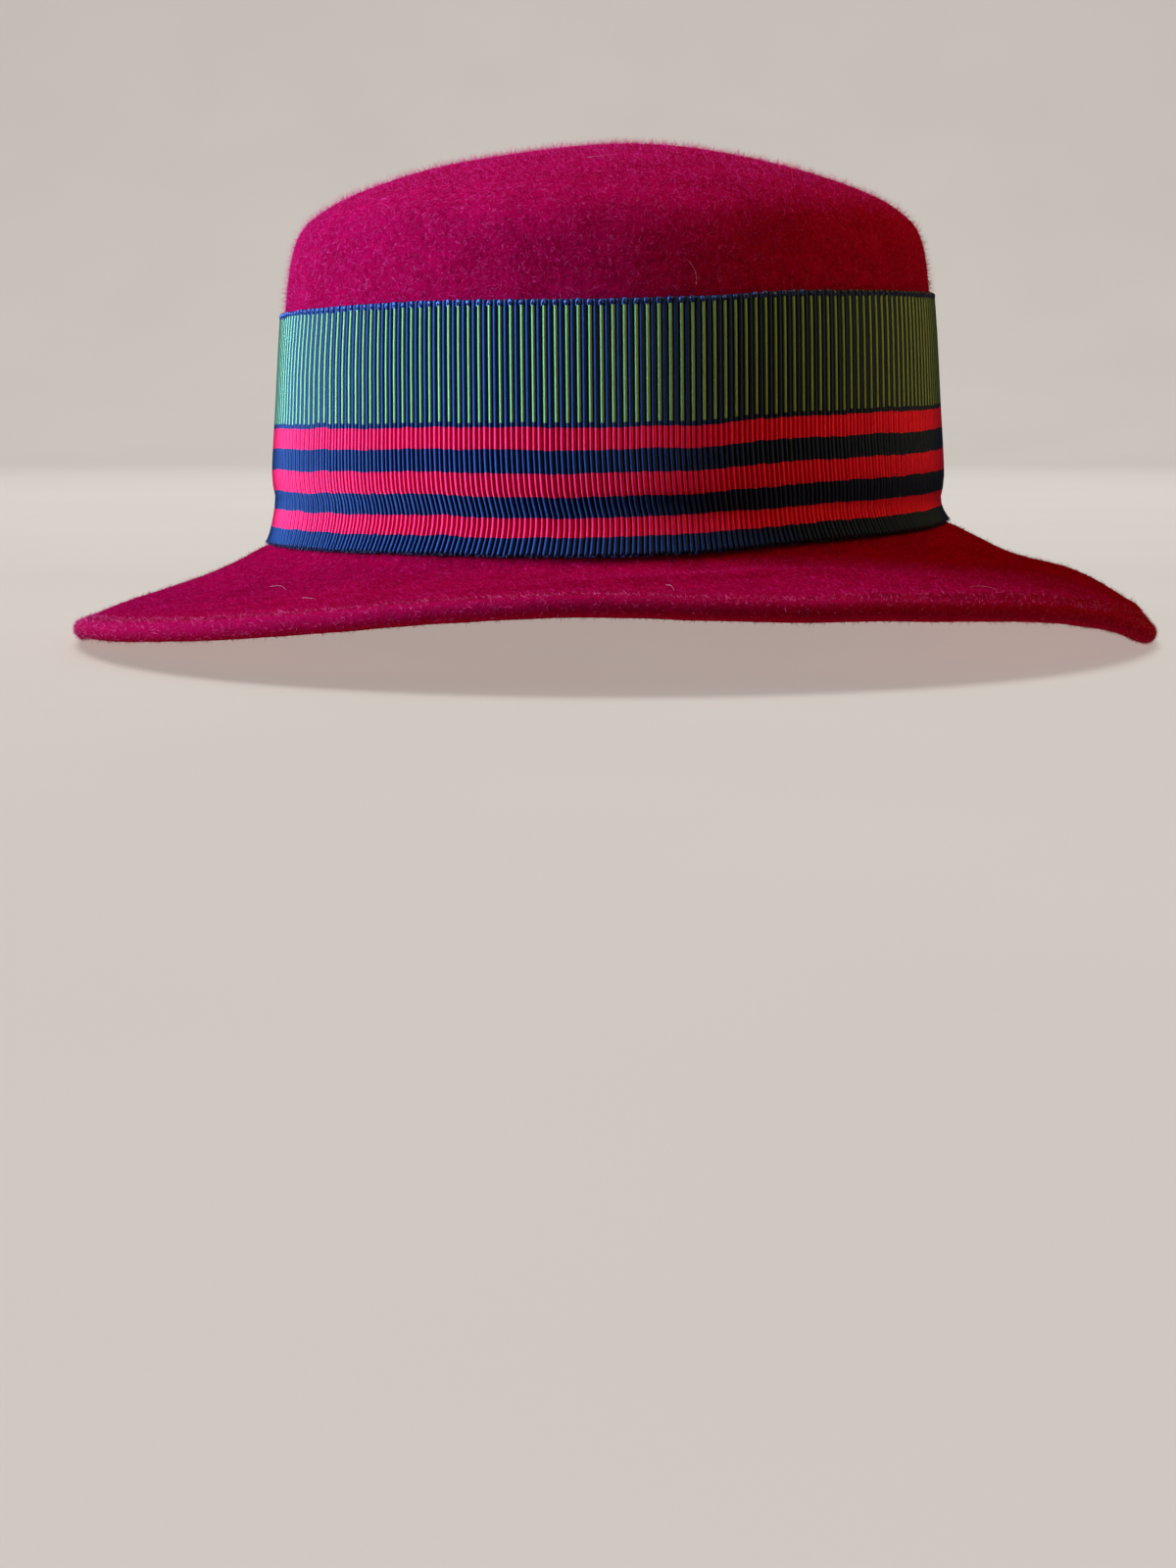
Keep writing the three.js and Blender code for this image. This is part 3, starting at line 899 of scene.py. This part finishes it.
def hair_material():
    """Pale hair, between pink and straw."""
    nodes = Material("stray_hair")
    tint = nodes.noise(nodes.place(), 500, detail=1)
    body = nodes.mix(tint, (0.45, 0.18, 0.22), (0.6, 0.4, 0.36))
    nodes.paint({"Base Color": body, "Roughness": nodes.range(tint, 0, 1, 0.5, 0.7)})
    return nodes.made


def stripe_colour(nodes, down, navy_rib):
    """Colour at a distance below the ribbon's upper edge. In the green stripe, every other rib is navy."""
    body = RIBBON_COLOURS[STRIPES[0]["colour"]]
    for stripe in STRIPES[1:]:
        begun = nodes.math("GREATER_THAN", down, stripe["begins"])
        body = nodes.mix(begun, body, RIBBON_COLOURS[stripe["colour"]])
    upper = nodes.math("LESS_THAN", down, STRIPES[2]["begins"])
    return nodes.mix(nodes.math("MULTIPLY", upper, navy_rib), body, RIBBON_COLOURS["navy"])


def painted_groove_shade(nodes, within, navy_rib, body):
    """Painted shade: 1 on a rib and darker in the grooves beside it, but hardly in the red stripes."""
    green = nodes.math("DIVIDE", within, GREEN_SHARE)
    navy = nodes.math("DIVIDE", nodes.math("SUBTRACT", within, GREEN_SHARE), 1 - GREEN_SHARE)
    share = nodes.mix_value(navy_rib, green, navy)
    from_middle = nodes.math("ABSOLUTE", nodes.math("SUBTRACT", nodes.math("MULTIPLY", share, 2.0), 1.0))
    on_rib = nodes.range(from_middle, GROOVE_FROM, GROOVE_TO, 1.0, 0.0, "SMOOTHSTEP")
    red = nodes.add("ShaderNodeSeparateColor", {"Color": body}).outputs["Red"]
    groove = nodes.mix_value(nodes.math("GREATER_THAN", red, 0.5), DARK_GROOVE, RED_GROOVE)
    return nodes.mix_value(on_rib, groove, 1.0)


def ribbon_material():
    """Grosgrain: warp threads wound over the ribs, in stripes that run along the ribbon."""
    nodes = Material("grosgrain_ribbon")
    flat = nodes.add("ShaderNodeUVMap", {}, uv_map="ribs").outputs["UV"]
    split = nodes.add("ShaderNodeSeparateXYZ", {"Vector": flat})
    place = nodes.place()
    pair = nodes.math("MULTIPLY", split.outputs["X"], float(PAIR_COUNT))
    within = nodes.math("FRACT", pair)
    navy_rib = nodes.math("GREATER_THAN", within, GREEN_SHARE)
    rib = nodes.math("ADD", nodes.math("MULTIPLY", nodes.math("FLOOR", pair), 2.0), navy_rib)
    chance = nodes.add("ShaderNodeTexWhiteNoise", {"W": rib}, noise_dimensions="1D").outputs["Value"]
    down = nodes.math("MULTIPLY", split.outputs["Y"], RIBBON_WIDTH)
    uneven = nodes.range(chance, 0, 1, -0.13, 0.13)
    sway = nodes.range(nodes.noise(place, 60, detail=1), 0.3, 0.7, -0.25, 0.25)
    body = stripe_colour(nodes, nodes.math("ADD", nodes.math("ADD", down, uneven), sway), navy_rib)

    # the warp threads across the ribs, with painted shade in the gaps between them
    threads = nodes.math("SINE", nodes.math("MULTIPLY", down, 2 * math.pi / THREAD_PITCH))
    slub = nodes.noise(place, 2200, detail=2)
    shade = nodes.range(threads, -1, 1, 0.9, 1.03)
    shade = nodes.math("ADD", shade, nodes.range(slub, 0.3, 0.7, -0.08, 0.08))
    shade = nodes.math("ADD", shade, nodes.range(chance, 0, 1, -0.05, 0.05))
    # painted shade in the grooves between the ribs
    shade = nodes.math("MULTIPLY", shade, painted_groove_shade(nodes, within, navy_rib, body))
    # painted shade along the ribbon's cut end
    shade = nodes.math("MULTIPLY", shade, nodes.range(nodes.values("cut_end"), 0, 1, 1, CUT_END_SHADE))
    grey = nodes.add("ShaderNodeCombineColor", {"Red": shade, "Green": shade, "Blue": shade})
    body = nodes.mix(1.0, body, grey.outputs["Color"], "MULTIPLY")

    normal = nodes.bump(slub, 0.00003, nodes.bump(threads, 0.00002))
    rough = nodes.range(slub, 0.3, 0.7, 0.4, 0.48)
    tangent = nodes.add("ShaderNodeTangent", {}, direction_type="UV_MAP", uv_map="ribs").outputs["Tangent"]
    nodes.paint({"Base Color": body, "Normal": normal, "Roughness": rough, "Metallic": 0.52})
    nodes.paint({"Specular IOR Level": 0.75, "Specular Tint": (0.5, 0.6, 1.0)})
    nodes.paint({"Anisotropic": 0.8, "Anisotropic Rotation": 0.25, "Tangent": tangent})
    return nodes.made


def thread_material(name, dark, light):
    """Loose silky thread of the ribbon."""
    nodes = Material(name)
    tint = nodes.noise(nodes.place(), 1500, detail=2)
    body = nodes.mix(nodes.range(tint, 0.35, 0.65), dark, light)
    rough = nodes.range(tint, 0.3, 0.7, 0.35, 0.5)
    normal = nodes.bump(tint, 0.00005)
    nodes.paint({"Base Color": body, "Roughness": rough, "Metallic": 0.5, "Normal": normal})
    return nodes.made


def paper_material():
    """Pale studio paper, a little cloudy."""
    nodes = Material("studio_paper")
    clouds = nodes.range(nodes.noise(nodes.place(), 6, detail=2), 0.3, 0.7, 0.0, 0.06)
    body = nodes.mix(clouds, (0.72, 0.69, 0.64), (1, 1, 1))
    nodes.paint({"Base Color": body, "Roughness": 0.9, "Specular IOR Level": 0.1})
    return nodes.made


# Studio


STUDIO_RADIUS = 3300
STUDIO_BEND = 1300  # radius of the curve between floor and wall
STUDIO_BEND_STEPS = 25
STUDIO_HEIGHT = 2800
STUDIO_FLOOR_RINGS = (300, 900)
STUDIO_COLUMNS = 96

HAT_MIDDLE = Vector((0, 0, 0.07))
NEUTRAL = (1.0, 0.98, 0.96)

# The camera's place in metres and how far it looks down in degrees, as in the photo
CAMERA_DISTANCE = 0.68
CAMERA_HEIGHT = 0.0603
CAMERA_DOWN = 8.41


def add_studio():
    """A pale floor that curves up into a round wall."""
    bend = np.radians(np.linspace(0, 90, STUDIO_BEND_STEPS))
    curve = STUDIO_RADIUS - STUDIO_BEND + STUDIO_BEND * np.sin(bend)
    radii = np.concatenate([STUDIO_FLOOR_RINGS, curve, [STUDIO_RADIUS]])
    heights = np.concatenate([[0, 0], STUDIO_BEND * (1 - np.cos(bend)), [STUDIO_HEIGHT]])
    angles = np.arange(STUDIO_COLUMNS) * 2 * math.pi / STUDIO_COLUMNS
    circle = np.stack([np.cos(angles), np.sin(angles), np.zeros(STUDIO_COLUMNS)], axis=-1)
    rings = radii[:, None, None] * circle + heights[:, None, None] * np.array([0, 0, 1])
    vertices = np.concatenate([rings.reshape(-1, 3), [[0, 0, 0]]])
    walls = ring_faces(len(radii), STUDIO_COLUMNS)
    middle = pole_faces(len(vertices) - 1, 0, STUDIO_COLUMNS, True)
    floor = new_object("studio", vertices, [walls, middle], paper_material())
    floor.visible_diffuse = False
    floor.visible_glossy = False
    return floor


def around_hat(azimuth, elevation, distance):
    """Place in metres seen from the middle of the hat in a direction."""
    turn, climb = math.radians(azimuth), math.radians(elevation)
    away = Vector((math.cos(turn) * math.cos(climb), math.sin(turn) * math.cos(climb), math.sin(climb)))
    return away * distance + HAT_MIDDLE


def add_light(name, place, size, power, tint, lit, aim=HAT_MIDDLE, blocking=None):
    """Soft lamp, unseen itself, that lights only one collection. If another is named as blocking, only the
    objects in that one cast shadows in its light."""
    lamp = bpy.data.lights.new(name, "AREA")
    lamp.shape = "RECTANGLE"
    lamp.size, lamp.size_y = size
    lamp.energy = power
    lamp.color = tint
    holder = bpy.data.objects.new(name, lamp)
    holder.location = place
    holder.rotation_euler = (place - aim).to_track_quat("Z", "Y").to_euler()
    holder.visible_camera = False
    holder.light_linking.receiver_collection = lit
    holder.light_linking.blocker_collection = blocking
    bpy.context.scene.collection.objects.link(holder)


def group(name, objects):
    """Collection of objects that some lights are for."""
    made = bpy.data.collections.new(name)
    for one in objects:
        made.objects.link(one)
    return made


def add_lights(pieces, floor):
    """A cool window on the left and a warm lamp on the right light the hat, and neutral light the studio."""
    hat = group("lit_hat", pieces)
    studio = group("lit_studio", [floor])
    add_light("window", around_hat(190, 28, 1.3), (0.9, 1.0), 69, (0.41, 0.6, 1.0), hat)
    add_light("lamp", around_hat(347, 53, 1.2), (0.4, 0.5), 6.8, (1.0, 0.42, 0.035), hat)
    add_light("overhead", Vector((-0.4, -0.3, 2.2)), (1.4, 1.4), 12, (1.0, 0.98, 0.95), studio)
    add_light("fill", Vector((0, 0, 2.6)), (2.5, 2.5), 54, NEUTRAL, studio, blocking=studio)
    foot_of_wall = Vector((0, 3.2, 0.5))
    add_light("wall_wash", Vector((0, 1.2, 1.9)), (2.4, 0.5), 26, NEUTRAL, studio, aim=foot_of_wall)


def add_air():
    """Dim light from everywhere, and warmer and stronger from below, where the floor would throw it back."""
    world = bpy.data.worlds.new("studio_air")
    world.use_nodes = True
    nodes = Nodes(world.node_tree)
    place = nodes.add("ShaderNodeTexCoord", {}).outputs["Generated"]
    height = nodes.add("ShaderNodeSeparateXYZ", {"Vector": place}).outputs["Z"]
    climb = nodes.range(height, -0.7, -0.3)
    air = nodes.mix(climb, (0.9, 0.55, 0.35), (0.06, 0.05, 0.056))
    nodes.feed(world.node_tree.nodes["Background"], {"Color": air})
    bpy.context.scene.world = world


def add_camera(axis):
    """Camera in front of the hat, looking a little down on it."""
    data = bpy.data.cameras.new("camera")
    data.lens = 58.725
    data.sensor_width = 36
    data.shift_x = -0.0128
    camera = bpy.data.objects.new("camera", data)
    camera.location = (axis.x, axis.y - CAMERA_DISTANCE, CAMERA_HEIGHT)
    camera.rotation_euler = (math.radians(90 - CAMERA_DOWN), 0, 0)
    bpy.context.scene.collection.objects.link(camera)
    bpy.context.scene.camera = camera


# Hat


def ride(piece, slot, *nodes):
    """Makes a piece go with the hat, and stand for nodes of the part where they are given."""
    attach(piece, "root")
    if nodes:
        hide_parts(*nodes)
    return piece


def add_felt(sections, shift, felt):
    """The felt with its nap, its fluff and the stray hairs."""
    fuzz = nap_material("wool_nap", (0.68, 0.03, 0.17))
    rim_fuzz = nap_material("rim_nap", (0.85, 0.19, 0.3))
    fuzzes = {"crown": fuzz, "brim": fuzz, "rim": rim_fuzz}
    first_of_brim = FELT_DOME_ROWS - 1 + FELT_RIBBON_ROWS
    grids = {
        "crown": [field[:, :FELT_DOME_ROWS] for field in felt.top],
        "brim": [field[:, first_of_brim:] for field in felt.top],
        "rim": [np.concatenate([top[:, -RIM_ROWS:], rim], axis=1) for top, rim in zip(felt.top, felt.edge)],
    }
    pieces = [ride(felt.build(shift, felt_material()), "felt", "felt_body")]
    for row in NAPS:
        pieces.append(ride(nap(row, grids[row["part"]], shift, fuzzes[row["part"]]), "felt"))
    pieces.append(ride(stray_hairs(sections, shift, hair_material()), "felt"))
    return pieces


def add_ribbon(shift):
    """The ribbon with its thread loops and its frayed ends."""
    ribbon = Ribbon(Sections(RIBBON_COLUMNS))
    cloth = ride(ribbon.build(shift, ribbon_material()), "ribbon", "ribbon_band")
    navy_thread = thread_material("selvedge_thread", (0.006, 0.02, 0.08), (0.03, 0.085, 0.25))
    dark_thread = thread_material("frayed_thread", (0.002, 0.005, 0.02), (0.01, 0.03, 0.1))
    top = ride(ribbon.top_loops(shift, navy_thread), "ribbon")
    foot = ride(ribbon.fringe(shift, dark_thread), "ribbon")
    return [cloth, top, foot]


sections = Sections(FELT_COLUMNS)
felt = FeltBody(sections)
rim = np.concatenate([felt.top[0][:, -1], felt.edge[0].reshape(-1, 3)])
low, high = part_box("felt_body")
shift = np.array((low + high) / 2 / MM) - (rim.min(axis=0) + rim.max(axis=0)) / 2
shift[2] = 0
pieces = add_felt(sections, shift, felt) + add_ribbon(shift)
add_lights(pieces, add_studio())
add_air()
add_camera(Vector(shift * MM))
bpy.context.scene.view_settings.view_transform = "Standard"
